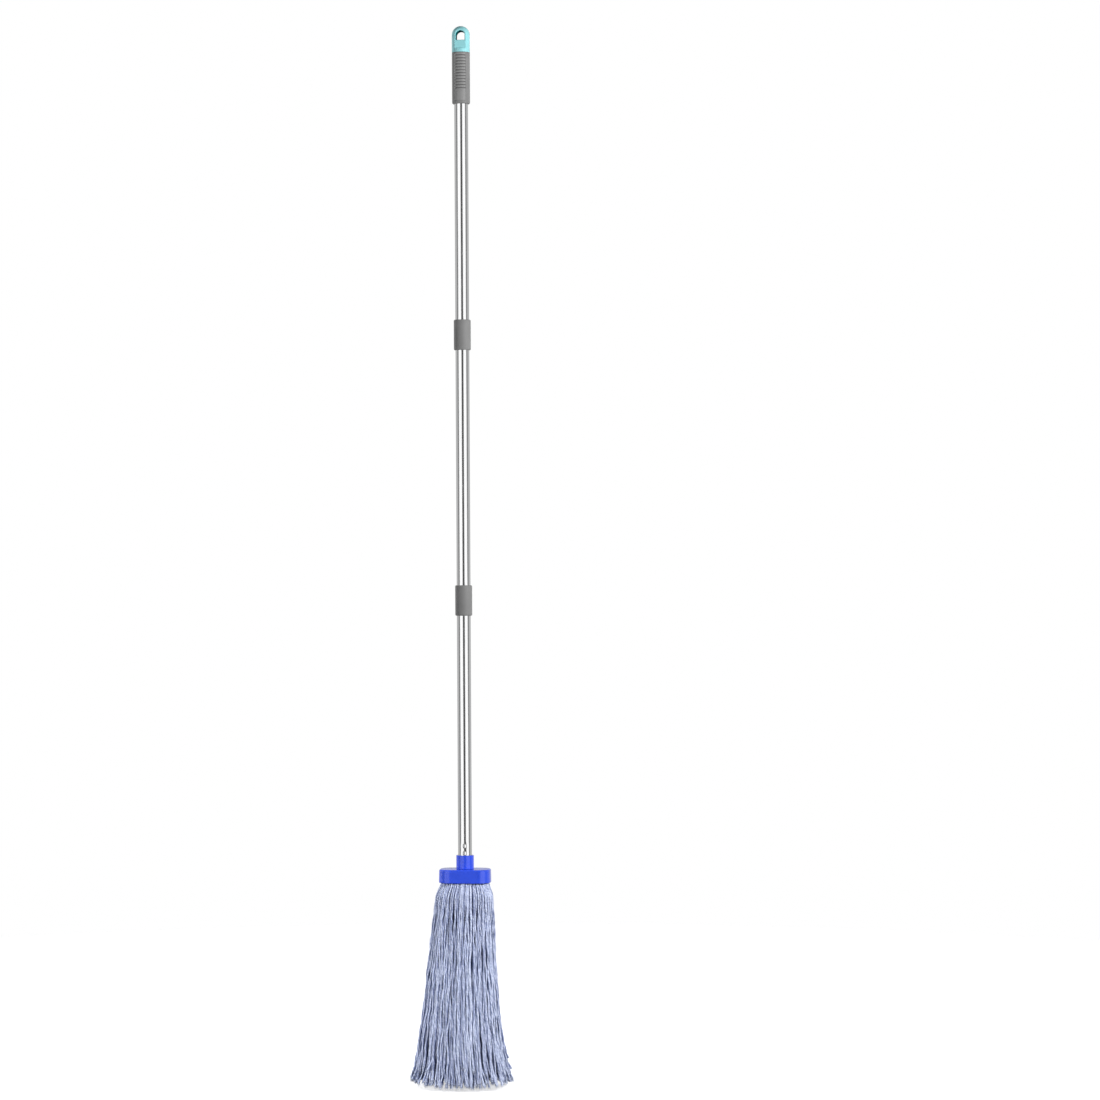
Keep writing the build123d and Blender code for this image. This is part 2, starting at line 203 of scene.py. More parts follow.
class NodeMaker:
    """A node tree with a short call for each kind of node that this script uses."""

    def __init__(self, tree):
        self.tree = tree

    def node(self, kind, **values):
        """A node with its settings, or the values of its inputs where no setting has that name."""
        made = self.tree.nodes.new("ShaderNode" + kind)
        for key, value in values.items():
            if hasattr(made, key):
                setattr(made, key, value)
            else:
                made.inputs[key.replace("_", " ")].default_value = value
        return made

    def link(self, source, target):
        self.tree.links.new(source, target)

    def ramp(self, value, stops):
        """Colours or grey levels by a value."""
        made = self.node("ValToRGB")
        ramp = made.color_ramp
        while len(ramp.elements) < len(stops):
            ramp.elements.new(0.5)
        for element, (place, colour) in zip(ramp.elements, stops):
            element.position = place
            element.color = (*colour, 1) if isinstance(colour, tuple) else (colour,) * 3 + (1,)
        self.link(value, made.inputs["Fac"])
        return made.outputs["Color"]

    def maths(self, operation, a, b=0.0):
        """One step of arithmetic on numbers or sockets."""
        made = self.node("Math", operation=operation)
        for socket, value in zip(made.inputs, (a, b)):
            if isinstance(value, (int, float)):
                socket.default_value = value
            else:
                self.link(value, socket)
        return made.outputs["Value"]

    def mix(self, factor, a, b, blend="MIX"):
        """Two colours mixed by a factor."""
        made = self.node("Mix", data_type="RGBA", blend_type=blend)
        for socket, value in zip((made.inputs[0], made.inputs[6], made.inputs[7]), (factor, a, b)):
            if isinstance(value, (int, float)):
                socket.default_value = value
            elif isinstance(value, tuple):
                socket.default_value = (*value, 1)
            else:
                self.link(value, socket)
        return made.outputs[2]


class Shader(NodeMaker):
    """A new material, with calls that set its surface."""

    def __init__(self, name):
        self.material = bpy.data.materials.new(name)
        self.material.use_nodes = True
        super().__init__(self.material.node_tree)
        self.surface = self.tree.nodes["Principled BSDF"]

    def coordinates(self, scale, kind="Object"):
        """The place on the object, scaled."""
        place = self.node("TexCoord")
        mapping = self.node("Mapping")
        mapping.inputs["Scale"].default_value = scale
        self.link(place.outputs[kind], mapping.inputs["Vector"])
        return mapping.outputs["Vector"]

    def noise(self, vector, scale, detail, roughness=0.5):
        """Smooth noise from 0 to 1."""
        made = self.node("TexNoise", Scale=scale, Detail=detail, Roughness=roughness)
        self.link(vector, made.inputs["Vector"])
        return made.outputs["Fac"]

    def bump(self, height, strength, distance):
        """Fine relief from a height, with its depth in metres."""
        made = self.node("Bump", Strength=strength, Distance=distance)
        self.link(height, made.inputs["Height"])
        self.link(made.outputs["Normal"], self.surface.inputs["Normal"])

    def set(self, socket, value):
        """Gives an input of the surface a number, a colour or a socket."""
        target = self.surface.inputs[socket]
        if isinstance(value, (int, float)):
            target.default_value = value
        elif isinstance(value, tuple):
            target.default_value = (*value, 1) if target.type == "RGBA" else value
        else:
            self.link(value, target)


def plastic(name, colour, roughness, grain=0.2, coat=0.0, shine=0.5):
    """Moulded plastic: slightly uneven colour, fine moulding grain, faint rubbed marks."""
    s = Shader(name)
    where = s.coordinates((1, 1, 1))
    cloud = s.noise(where, scale=55, detail=4)
    darker = tuple(c * 0.93 for c in colour)
    lighter = tuple(min(1, c * 1.05) for c in colour)
    s.base = s.ramp(cloud, [(0.3, darker), (0.7, lighter)])
    s.set("Base Color", s.base)
    marks = s.noise(s.coordinates((1, 1, 0.12)), scale=420, detail=2)
    s.set("Roughness", s.ramp(marks, [(0.35, roughness * 0.85), (0.7, roughness * 1.25)]))
    s.set("Specular IOR Level", shine)
    s.bump(s.noise(where, scale=2600, detail=2), grain, distance=0.00006)
    s.set("Coat Weight", coat)
    s.set("Coat Roughness", 0.12)
    return s


def grip_plastic(name, colour, floor, face, outside, lowest):
    """The grip's plastic with painted shade: darker in its grooves, a little darker on the round
    surface round its sunk panels and at its foot. floor, face and outside are the radii of the
    groove's floor, the panel's face and the outside; lowest is the height of the panel's lower end.
    All are in metres."""
    s = plastic(name, colour, roughness=0.42, grain=0.3)
    radius = s.node("VectorMath", operation="LENGTH")
    s.link(s.coordinates((1, 1, 0)), radius.inputs[0])
    depth = s.node("MapRange", From_Min=floor, From_Max=outside)
    s.link(radius.outputs["Value"], depth.inputs["Value"])
    level = (face - floor) / (outside - floor)
    # Painted shade by depth: darkest on the groove floors, full colour on the panel faces, a little
    # darker on the round outside
    stops = [(0.0, 0.45), (level - 0.1, 1.0), (level + 0.1, 1.0), (0.95, 0.80)]
    painted_shade = s.ramp(depth.outputs["Result"], stops)
    place = s.node("SeparateXYZ")
    s.link(s.coordinates((1, 1, 1)), place.inputs["Vector"])
    # Below the panels' lower end the painted shade is an even 0.8
    above = s.maths("GREATER_THAN", place.outputs["Z"], lowest)
    painted_shade = s.mix(above, (0.8, 0.8, 0.8), painted_shade)
    s.set("Base Color", s.mix(1.0, s.base, painted_shade, "MULTIPLY"))
    return s.material


def hanger_plastic_painted_eye_shadow(name, colour, eye_low, eye_high):
    """The hanging cap's plastic, with painted shadow on the walls inside the eye: deep teal and
    dull there. The eye's corners are given in metres."""
    coat, shine = 0.1, 0.5
    s = plastic(name, colour, roughness=0.32, grain=0.12, coat=coat, shine=shine)
    place = s.node("SeparateXYZ")
    s.link(s.coordinates((1, 1, 1)), place.inputs["Vector"])
    facing = s.node("SeparateXYZ")
    s.link(s.coordinates((1, 1, 1), "Normal"), facing.inputs["Vector"])
    aside = s.maths("ABSOLUTE", place.outputs["X"])
    within = s.maths("LESS_THAN", aside, eye_high[0])
    within = s.maths("MULTIPLY", within, s.maths("LESS_THAN", place.outputs["Z"], eye_high[2]))
    within = s.maths("MULTIPLY", within, s.maths("GREATER_THAN", place.outputs["Z"], eye_low[2]))
    sideways = s.maths("LESS_THAN", s.maths("ABSOLUTE", facing.outputs["Y"]), 0.5)
    inside = s.maths("MULTIPLY", within, sideways)
    # Painted shadow on the eye's inner walls: a deep teal colour, with shine and coat taken away
    deep = (0.01, 0.12, 0.13)
    s.set("Base Color", s.mix(inside, s.base, deep))
    s.set("Specular IOR Level", s.maths("SUBTRACT", shine, s.maths("MULTIPLY", inside, shine)))
    s.set("Coat Weight", s.maths("SUBTRACT", coat, s.maths("MULTIPLY", inside, coat)))
    return s.material


def drawn_steel(name, roughness):
    """Polished drawn stainless tube: very fine lengthwise lines and a few faint scuffs."""
    s = Shader(name)
    lines = s.noise(s.coordinates((1, 1, 0.004)), scale=3000, detail=2)
    scuffs = s.noise(s.coordinates((1, 1, 0.35)), scale=260, detail=5, roughness=0.65)
    tone = s.ramp(lines, [(0.3, (0.60, 0.605, 0.61)), (0.7, (0.70, 0.70, 0.705))])
    s.set("Base Color", tone)
    s.set("Metallic", 1.0)
    scuffed = s.ramp(scuffs, [(0.45, roughness * 0.8), (0.72, roughness * 1.6)])
    s.set("Roughness", scuffed)
    s.bump(lines, strength=0.12, distance=0.00002)
    return s.material


def plain_steel(name):
    """Zinc-coated screw and wire steel."""
    s = Shader(name)
    cloud = s.noise(s.coordinates((1, 1, 1)), scale=900, detail=4)
    s.set("Base Color", s.ramp(cloud, [(0.3, (0.42, 0.42, 0.40)), (0.7, (0.62, 0.62, 0.60))]))
    s.set("Metallic", 1.0)
    s.set("Roughness", s.ramp(cloud, [(0.3, 0.28), (0.7, 0.42)]))
    s.bump(cloud, strength=0.2, distance=0.00003)
    return s.material


# Cotton colours, from the darkest fibres to the palest
NAVY, SLATE = (0.08, 0.11, 0.25), (0.39, 0.46, 0.66)
HAZE, PALE = (0.69, 0.75, 0.93), (0.88, 0.92, 1.0)
WHITE = (1.0, 1.0, 1.0)


def cotton(name):
    """Heather cotton yarn. The thread attribute wraps round a strand and runs along it with its
    twist. tone differs by ply and strand. hollow is painted shade, low between strands and plies
    and high on top."""
    s = Shader(name)
    thread = s.node("Attribute", attribute_name="thread", attribute_type="GEOMETRY")
    tone = s.node("Attribute", attribute_name="tone", attribute_type="GEOMETRY")
    hollow = s.node("Attribute", attribute_name="hollow", attribute_type="GEOMETRY")

    def along(scale):
        made = s.node("Mapping")
        made.inputs["Scale"].default_value = scale
        s.link(thread.outputs["Vector"], made.inputs["Vector"])
        return made.outputs["Vector"]

    fibres = s.noise(along((7, 7, 5)), scale=1.0, detail=3, roughness=0.7)
    blotches = s.noise(along((1.3, 1.3, 6.5)), scale=1.0, detail=3, roughness=0.75)
    heather = s.maths("ADD", s.maths("MULTIPLY", fibres, 0.45), s.maths("MULTIPLY", blotches, 0.55))
    colour = s.ramp(heather, [(0.36, NAVY), (0.43, SLATE), (0.50, HAZE), (0.60, PALE)])
    strand = s.ramp(tone.outputs["Fac"], [(0.32, (0.42, 0.44, 0.54)), (0.85, WHITE)])
    # Painted shade colours, from the deepest hollows to the tops of the plies
    painted_hollow_stops = [(0.0, (0.05, 0.07, 0.17)), (0.35, (0.42, 0.46, 0.62)), (0.75, WHITE)]
    painted_shade = s.ramp(hollow.outputs["Fac"], painted_hollow_stops)
    s.set("Base Color", s.mix(1.0, s.mix(1.0, colour, strand, "MULTIPLY"), painted_shade, "MULTIPLY"))
    s.set("Roughness", s.ramp(fibres, [(0.3, 0.85), (0.7, 1.0)]))
    s.set("Sheen Weight", 0.15)
    s.set("Sheen Roughness", 0.5)
    s.set("Sheen Tint", (0.85, 0.9, 1.0))
    s.set("Specular IOR Level", 0.1)
    s.bump(fibres, strength=0.5, distance=0.0003)
    return s.material


def pressed_cotton(name):
    """The folded yarn roots, pressed flat: the same heather colours without a strand to follow."""
    s = Shader(name)
    lanes = s.noise(s.coordinates((1, 0.25, 1)), scale=900, detail=4, roughness=0.7)
    s.set("Base Color", s.ramp(lanes, [(0.36, NAVY), (0.44, SLATE), (0.5, HAZE), (0.62, PALE)]))
    s.set("Roughness", s.ramp(lanes, [(0.3, 0.85), (0.7, 1.0)]))
    s.bump(lanes, strength=0.6, distance=0.0006)
    return s.material


# Where the hanging eye is, with no limit front to back, and the grip's corners, in metres
HANGER_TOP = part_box("hanger_cap")[1][2]
EYE_HALF_WIDTH, EYE_TOP_DROP, EYE_FOOT_DROP = 0.0069, 0.0071, 0.0214
EYE_LOW = (-EYE_HALF_WIDTH, -1, HANGER_TOP - EYE_FOOT_DROP)
EYE_HIGH = (EYE_HALF_WIDTH, 1, HANGER_TOP - EYE_TOP_DROP)
GRIP_LOW, GRIP_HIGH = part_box("grip_sleeve")
GROOVE_FLOOR, PANEL_FACE, PANEL_FOOT = 0.0012, 0.0005, 0.0042

collar_grey, grip_colour, natural = (0.17,) * 3, (0.205,) * 3, (0.72, 0.72, 0.67)
turquoise, blue = (0.245, 0.55, 0.585), (0.024, 0.068, 0.60)
steel = drawn_steel("drawn_steel", roughness=0.13)
grey_plastic = plastic("grey_plastic", collar_grey, roughness=0.36, shine=0.15).material
grip_grey_painted_shade = grip_plastic(
    "grip_plastic",
    grip_colour,
    floor=GRIP_HIGH[0] - GROOVE_FLOOR,
    face=GRIP_HIGH[0] - PANEL_FACE,
    outside=GRIP_HIGH[0],
    lowest=GRIP_LOW[2] + PANEL_FOOT,
)
turquoise_plastic = hanger_plastic_painted_eye_shadow("turquoise_plastic", turquoise, EYE_LOW, EYE_HIGH)
blue_plastic = plastic(
    "blue_plastic", blue, roughness=0.2, grain=0.12, coat=0.4, shine=0.4
).material
natural_plastic = plastic("natural_plastic", natural, roughness=0.45).material
hardware = plain_steel("hardware_steel")
yarn_cotton = cotton("yarn_cotton")
root_cotton = pressed_cotton("root_cotton")


def paint(obj, material):
    """Gives an object one material, on every slot."""
    if not obj.material_slots:
        obj.data.materials.append(material)
    for place in obj.material_slots:
        place.material = material
    return obj


def stand_in(obj, node, body, material):
    """The object replaces a CAD node, rides its body and takes a material."""
    paint(obj, material)
    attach(obj, body)
    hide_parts(node)


def node_box(name):
    """A CAD node's lowest and highest corners, in millimetres."""
    low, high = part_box(name)
    return np.array(low) / MM, np.array(high) / MM


# ---------------------------------------------------------------- pole

tube_radius = (node_box("upper_tube")[1][0] - node_box("upper_tube")[0][0]) / 2
tube_wall, tube_lip = 0.5, 0.15
# Crimp dimples: the press's radius and depth on the wall's inside and outside, the heights above
# the tube's bottom end, and the shallow dent round each
dimple_inner, dimple_radius = 5.5, 6.0
dimple_inner_depth, dimple_depth = 1.6, 1.35
dimple_heights = (5.5, 16.0)
shoulder_depth, shoulder_reach = 0.6, 5.0
# Rows of points up a tube: close together as far as the dimples reach, and a few above
dense_reach, dense_step, end_margin, sparse_rows = 25, 0.35, 0.6, 40


def tube_shape(bottom):
    """Presses the crimp dimples into a tube's wall near its bottom end, in front and behind."""

    def shape(points, r):
        inner = r < tube_radius - tube_wall / 2
        reach = np.where(inner, dimple_inner, dimple_radius)
        middle = tube_radius + reach - np.where(inner, dimple_inner_depth, dimple_depth)
        for side in (-1, 1):
            for height in dimple_heights:
                across = np.hypot(points[..., 0], points[..., 2] - bottom - height)
                inside = (across < reach) & (points[..., 1] * side > 0)
                wall = side * (middle - np.sqrt(np.clip(reach**2 - across**2, 0, None)))
                pressed = np.minimum if side > 0 else np.maximum
                sunk = pressed(points[..., 1], wall)
                shoulder = shoulder_depth * np.exp(-((across / shoulder_reach) ** 2))
                shoulder = np.where(inner | (points[..., 1] * side < 0), 0, shoulder)
                soft = points[..., 1] - side * shoulder
                deeper = np.minimum(sunk * side, soft * side) * side
                points[..., 1] = np.where(inside, deeper, soft)
        return points

    return shape


def tube_profile(bottom, top):
    """Wall section of a tube: dense rows where the dimples are, sparse rows above."""
    dense_top = bottom + dense_reach
    rows = list(np.arange(bottom + end_margin, dense_top, dense_step))
    rows += list(np.linspace(dense_top, top - end_margin, sparse_rows))
    bore, edge = tube_radius - tube_wall, tube_radius - tube_lip
    outer = [(tube_radius, z) for z in rows]
    inner = [(bore, z) for z in reversed(rows)]
    top_end = [(tube_radius, top - tube_lip), (edge, top), (bore, top)]
    bottom_end = [(bore, bottom), (edge, bottom), (tube_radius, bottom + tube_lip)]
    return outer + top_end + inner + bottom_end


for node, body in (
    ("upper_tube", "upper_section"),
    ("middle_tube", "middle_section"),
    ("lower_tube", "lower_section"),
):
    low, high = node_box(node)
    tube = lathe(
        "steel_" + node,
        tube_profile(low[2], high[2]),
        segments=200,
        shape=tube_shape(low[2]),
        smooth_angle=50,
    )
    stand_in(tube, node, body, steel)

collar_gap, collar_round, collar_bore_round = 0.25, 1.6, 0.25

for node in ("upper_collar", "lower_collar"):
    low, high = node_box(node)
    outer, bore = high[0], tube_radius + collar_gap
    collar_outline = rounded_profile(
        [
            (bore, low[2], collar_bore_round),
            (outer, low[2], collar_round),
            (outer, high[2], collar_round),
            (bore, high[2], collar_bore_round),
        ]
    )
    collar = lathe("sleeve_" + node, refine(collar_outline, 2.0), segments=160, smooth_angle=60)
    stand_in(collar, node, node, grey_plastic)

# Grip: cross ribs cut in the front and back panels
grip_low, grip_high = node_box("grip_sleeve")
grip_radius = grip_high[0]
rib_pitch, rib_count, rib_width, rib_depth = 4.3, 12, 1.7, 0.75
rib_panel, rib_top = 8.0, grip_high[2] - 3.7
panel_sink, panel_low, panel_high = 0.5, grip_low[2] + 4.5, grip_high[2] - 2.4
grip_bore = tube_radius + 0.1


def grip_shape(points, r):
    """Sinks the front and back panels a little and cuts the ribs' grooves into them."""
    z = points[..., 2]
    near_outside = smoothstep(grip_bore + 1.0, grip_radius - 0.8, r)
    phase = (rib_top - rib_width / 2 - z) / rib_pitch
    nearest = np.clip(np.round(phase), 0, rib_count - 1)
    off = np.abs(phase - nearest) * rib_pitch
    groove = 1 - smoothstep(rib_width / 2 - 0.3, rib_width / 2 + 0.15, off)
    across = np.abs(points[..., 0])
    panel = 1 - smoothstep(rib_panel - 0.4, rib_panel + 0.3, across)
    recess = smoothstep(panel_low - 0.4, panel_low, z)
    recess = recess * (1 - smoothstep(panel_high, panel_high + 0.4, z))
    sink = (rib_depth * groove + panel_sink * recess) * panel * near_outside
    scale = (r - sink) / np.maximum(r, 1e-6)
    points[..., 0] *= scale
    points[..., 1] *= scale
    return points


grip_outline = rounded_profile(
    [
        (grip_bore, grip_low[2], 0.3),
        (grip_radius, grip_low[2], 2.0),
        (grip_radius, grip_high[2], 0.5),
        (grip_bore, grip_high[2], 0.0),
    ]
)
grip_rows = refine(grip_outline, 0.28, beyond=grip_bore + 1)
grip = lathe("ribbed_grip", grip_rows, segments=280, shape=grip_shape, smooth_angle=180)
stand_in(grip, "grip_sleeve", "upper_section", grip_grey_painted_shade)

# ---------------------------------------------------------------- head

neck_low, neck_high = node_box("neck_ferrule")
neck_radius = neck_high[0]
neck_bore, mouth_bore, mouth_depth = 11.2, 10.3, 4.0
neck_outline = rounded_profile(
    [
        (neck_bore, neck_low[2], 0.1),
        (neck_radius, neck_low[2], 0.4),
        (neck_radius, neck_high[2], 0.9),
        (mouth_bore, neck_high[2], 0.3),
        (mouth_bore, neck_high[2] - mouth_depth, 0.0),
        (neck_bore, neck_high[2] - mouth_depth, 0.0),
    ]
)
neck = lathe("neck_sleeve", refine(neck_outline, 1.5), segments=160, smooth_angle=50)
stand_in(neck, "neck_ferrule", "neck_ferrule", blue_plastic)

# Cap: rings of the oval outline, from the hole at the top out, down and up inside
cap_low, cap_high = node_box("mop_cap")
cap_wide, cap_deep = cap_high[0] * 2, cap_high[1] * 2
cap_corner = 17.4
cap_flare, cap_edge, cap_wall, cap_roof = 0.8, 2.2, 2.0, 2.4
hole_bore, hole_edge = 11.1, 11.4
ring_count, edge_steps = 320, 8
cap_floor, cap_top = cap_low[2], cap_high[2]
cap_ceiling = cap_top - cap_roof


def cap_ring(inset, z):
    """One ring of the cap, drawn in from its rim by an inset."""
    corner = max(cap_corner - inset, 1.0)
    ring = oval_ring(cap_wide - 2 * inset, cap_deep - 2 * inset, corner, ring_count)
    return np.column_stack([ring, np.full(ring_count, z)])


def hole_ring(radius, z):
    """One ring round the neck's hole, with its points in line with the oval's."""
    ring = oval_ring(cap_wide, cap_deep, cap_corner, ring_count)
    way = ring / np.linalg.norm(ring, axis=1)[:, None]
    return np.column_stack([way * radius, np.full(ring_count, z)])


cap_rings = [
    hole_ring(hole_bore, cap_ceiling),
    hole_ring(hole_bore, cap_top - 0.3),
    hole_ring(hole_edge, cap_top),
]
for share in (0.25, 0.5, 0.75):
    start = hole_ring(hole_edge, cap_top)
    end = cap_ring(cap_flare / 2 + cap_edge, cap_top)
    cap_rings.append(start + (end - start) * share)
for step in range(edge_steps + 1):
    turn = math.pi / 2 * step / edge_steps
    inset = cap_flare / 2 + cap_edge * (1 - math.sin(turn))
    cap_rings.append(cap_ring(inset, cap_top - cap_edge * (1 - math.cos(turn))))
for share in np.linspace(0.1, 0.94, 8):
    height = cap_top - cap_edge - share * (cap_top - cap_edge - cap_floor)
    cap_rings.append(cap_ring(cap_flare / 2 * (1 - share), height))
cap_rings += [
    cap_ring(0.1, cap_floor + 0.35),
    cap_ring(0.4, cap_floor),
    cap_ring(cap_wall - 0.3, cap_floor),
    cap_ring(cap_wall + 0.4, cap_floor + 0.4),
    cap_ring(cap_wall + 0.4, cap_ceiling - 1),
    cap_ring(cap_wall + 1.4, cap_ceiling),
]
cap_rings.reverse()
cap = make_object(
    "oval_cap",
    np.concatenate(cap_rings) * MM,
    grid_faces(len(cap_rings), ring_count, closed_rows=True),
    smooth_angle=38,
)
stand_in(cap, "mop_cap", "head", blue_plastic)

# ---------------------------------------------------------------- hanging cap and hidden pieces

for node, material in (
    ("hanger_cap", turquoise_plastic),
    ("upper_tube_tip", natural_plastic),
    ("middle_tube_tip", natural_plastic),
    ("lower_tube_tip", natural_plastic),
    ("upper_joint_socket", natural_plastic),
    ("lower_joint_socket", natural_plastic),
    ("socket_core", blue_plastic),
    ("yarn_clamp_plate", blue_plastic),
    ("clamp_screws", hardware),
    ("yarn_binding_wire", hardware),
    ("yarn_root_pad", root_cotton),
):
    paint(nodes[node], material)

# ---------------------------------------------------------------- yarn

# Lengths are in millimetres. down is 0 at the cap's rim and 1 at the floor. The random draws come
# in a fixed order from one generator, so an added or moved draw changes every strand after it.
top_z = cap_low[2]
ply_count = 4
twist_pitch = 16.0
lock_row_step, core_row_step = 2.0, 3.2
# Strands in each layer of the locks and each ring of the core, from the outside in
layer_step = 2.3
lock_layers = (104, 96, 70)
core_layers = (58, 44, 32, 20)
core_outer_rings = 2
core_spread = 8.5
columns_by_layer = (12, 12, 12, 8, 8, 8, 8)
# Places round the skirt that strands gather towards, and their shift from layer to layer
clump_count, clump_shift = 37, 0.37
# Loose fibres at each cut end, and a length below a lock's hinge, from which an end point is worked
# out that nothing uses
lock_fibres, core_fibres = 22, 12
bend_length = 85


def superellipse(theta, left, right, deep, power):
    """A point on an oval at an angle from +X, with its own half widths left and right."""
    c, s = np.cos(theta), np.sin(theta)
    wide = np.where(c > 0, right, left)
    x = wide * np.sign(c) * np.abs(c) ** (2 / power)
    y = deep * np.sign(s) * np.abs(s) ** (2 / power)
    return x, y


# The skirt's half width and half depth at the rim, and what the bulge below the rim, the even
# slope and the flare at the hem add to the left, to the right and in depth
rim_wide, rim_deep = 33.2, 19.4
left_bulge, left_slope, left_flare = 7.0, 35.0, 6.0
right_bulge, right_slope, right_flare = 4.8, 15.0, 18.0
deep_bulge, deep_slope, deep_flare = 5.0, 22.0, 3.0
# The small shoulder on the right: where it is and how far it reaches
shoulder_place, shoulder_spread = 0.09, 0.06
rim_squareness, squareness_lost = 3.2, 0.7


def skirt_outline(down):
    """Half width left and right, half depth and squareness of the skirt."""
    bulge = smoothstep(-0.01, 0.075, down)
    shoulder = np.exp(-(((down - shoulder_place) / shoulder_spread) ** 2))
    left = rim_wide + left_bulge * bulge + left_slope * down + left_flare * down**6
    right = rim_wide + right_bulge * bulge + right_slope * down + right_flare * down**5 + shoulder
    deep = rim_deep + deep_bulge * bulge + deep_slope * down + deep_flare * down**6
    power = rim_squareness - squareness_lost * smoothstep(0, 0.4, down)
    return left, right, deep, power


# The outline table's levels down the skirt, its places round it and the finer walk they come from
level_count, place_count, walk_finer = 60, 720, 8


def skirt_table():
    """Points of the skirt's outline at even steps down it and, by arc length, round it."""
    table = np.empty((level_count + 1, place_count + 1, 2))
    theta = np.linspace(0, 2 * math.pi, walk_finer * place_count + 1)
    for i, down in enumerate(np.linspace(0, 1, level_count + 1)):
        x, y = superellipse(theta, *skirt_outline(down))
        run = np.concatenate([[0], np.cumsum(np.hypot(np.diff(x), np.diff(y)))])
        even = np.linspace(0, run[-1], place_count + 1)
        table[i] = np.stack([np.interp(even, run, x), np.interp(even, run, y)], 1)
    return table


outline_table = skirt_table()
# Roughly the way round the rim: twice the cap's width and depth
rim_length = 2 * (74.0 + 46.0)


def on_skirt(share, down, inset):
    """Points of the skirt at shares of the way round from +X, drawn in by an inset."""
    row = np.clip(down, 0, 1) * level_count
    row_floor = np.minimum(row.astype(int), level_count - 1)
    column = (share % 1.0) * place_count
    column_floor = np.minimum(column.astype(int), place_count - 1)
    v, u = (row - row_floor)[:, None], (column - column_floor)[:, None]
    upper_row, lower_row = outline_table[row_floor], outline_table[row_floor + 1]
    every = np.arange(len(row_floor))
    upper = upper_row[every, column_floor] * (1 - u) + upper_row[every, column_floor + 1] * u
    lower = lower_row[every, column_floor] * (1 - u) + lower_row[every, column_floor + 1] * u
    point = upper * (1 - v) + lower * v
    left, right, deep, _ = skirt_outline(np.clip(down, 0, 1))
    wide = np.where(point[:, 0] > 0, right, left)
    return point[:, 0] * (1 - inset / wide), point[:, 1] * (1 - inset / deep)


def waves(down, *bands):
    """A smooth random line: one sine for each band of (least cycles, most cycles, size)."""
    line = np.zeros(len(down))
    for least, most, size in bands:
        cycles, phase = rng.uniform(least, most), rng.uniform(0, 2 * math.pi)
        amount = rng.uniform(0.4, 1.2)
        line += size * amount * np.sin(cycles * down * 2 * math.pi + phase)
    return line


# Waves of a strand along the skirt and in depth: least and most cycles, and size
along_waves = ((0.6, 1.4, 1.1), (2.0, 4.5, 1.2), (5.0, 9.0, 0.5), (10.0, 20.0, 0.35))
depth_waves = ((0.8, 2.5, 1.0), (3.0, 6.0, 0.8), (7.0, 12.0, 0.4))
# Cut ends above the floor: in front, more at the sides, less behind, uneven, and some well short
cut_front, cut_aside, cut_behind, cut_uneven = 4.5, 5.0, 4.0, 7
short_share, shortest, longest_short = 0.35, 3, 30
# Strands that stray: their share, and how far they and the others stray at the hem
stray_share, stray_far, stray_near = 0.3, 7.0, 2.0
# The last share of a strand that flicks off its line, and the flick's size. An outward flick
# grows with the distance from the pole and has its drawn size at flick_outward.
flick_reach, flick_size, flick_outward = 0.07, 1.8, 60.0


def strand_path(share, layer, core):
    """The middle line of one strand, from inside the cap to its cut end, and how deep it lies."""
    start_z = top_z + (4.0 if layer == 0 and not core else 1.0)
    place = 2 * math.pi * share
    aside, behind = abs(math.cos(place)) ** 2, max(0.0, math.sin(place))
    cut = cut_front + cut_aside * aside - cut_behind * behind + rng.uniform(0, cut_uneven)
    end_z = cut + (rng.uniform(shortest, longest_short) if rng.random() < short_share else 0)
    row_step = core_row_step if core else lock_row_step
    z = np.append(np.arange(start_z, end_z, -row_step), end_z)
    down = np.clip((top_z - z) / top_z, 0, 1)
    free = smoothstep(0.0, 0.2, down)
    shift = clump_shift * layer
    clump = (math.floor(share * clump_count + shift) + 0.5 - shift) / clump_count
    pull = rng.uniform(0.0, 0.3) * smoothstep(0.5, 1.0, down)
    strays = rng.random() < stray_share
    stray = rng.normal(0, stray_far if strays else stray_near)
    along = waves(down, *along_waves) * free
    depth = waves(down, *depth_waves) * free
    loosen = 0.4 if core else 0.55
    packed = 1 - loosen * smoothstep(0.05, 0.75, down)
    inset = layer * layer_step * packed + depth + 1.2 * free
    inset += rng.uniform(-0.2, 1.0) * (1 - free)
    if core:
        inset += (layer - len(lock_layers)) * core_spread * down
    girth = rim_length * (1 + down)
    way = share + (clump - share) * pull + (along + stray * down**1.8) / girth
    x, y = on_skirt(way, down, np.maximum(inset, -0.6))
    flick = smoothstep(0.0, 1.0, (down - down[-1] + flick_reach) / flick_reach)
    outward = rng.uniform(-1.0, 1.5) / flick_outward
    x += (rng.normal(0, flick_size) + x * outward) * flick
    y += (rng.normal(0, flick_size) + y * outward) * flick
    return np.stack([x, y, z], 1), inset


def cross_axes(path):
    """Unit tangent and two unit axes across a path."""
    tangent = np.gradient(path, axis=0)
    tangent /= np.linalg.norm(tangent, axis=1)[:, None]
    side = np.cross(tangent, (0.0, 1.0, 0.0))
    side /= np.linalg.norm(side, axis=1)[:, None]
    return tangent, side, np.cross(side, tangent)


# A strand's radius at the rim, what it gains by 150 mm down, and its frayed end's extra share
strand_radius, radius_gain, gain_run, end_swell = 1.08, 0.25, 150, 0.3
# How far the plies stand out, how much more in the frayed last stretch, and its length
ply_relief, frayed_relief, fray_run = 0.17, 0.1, 9
# Least and most share of the twist's pitch and of the radius, and tone of a strand and of a ply
pitch_range, radius_range = (0.9, 1.15), (0.85, 1.1)
strand_tones, ply_tones = (0.58, 1.0), (0.52, 1.2)
# A loose fibre's radius, its share lost at the tip, rows along it and columns round it
fibre_radius, fibre_taper, fibre_rows, fibre_columns = 0.24, 0.6, 4, 3
lowest_fibre = 0.35


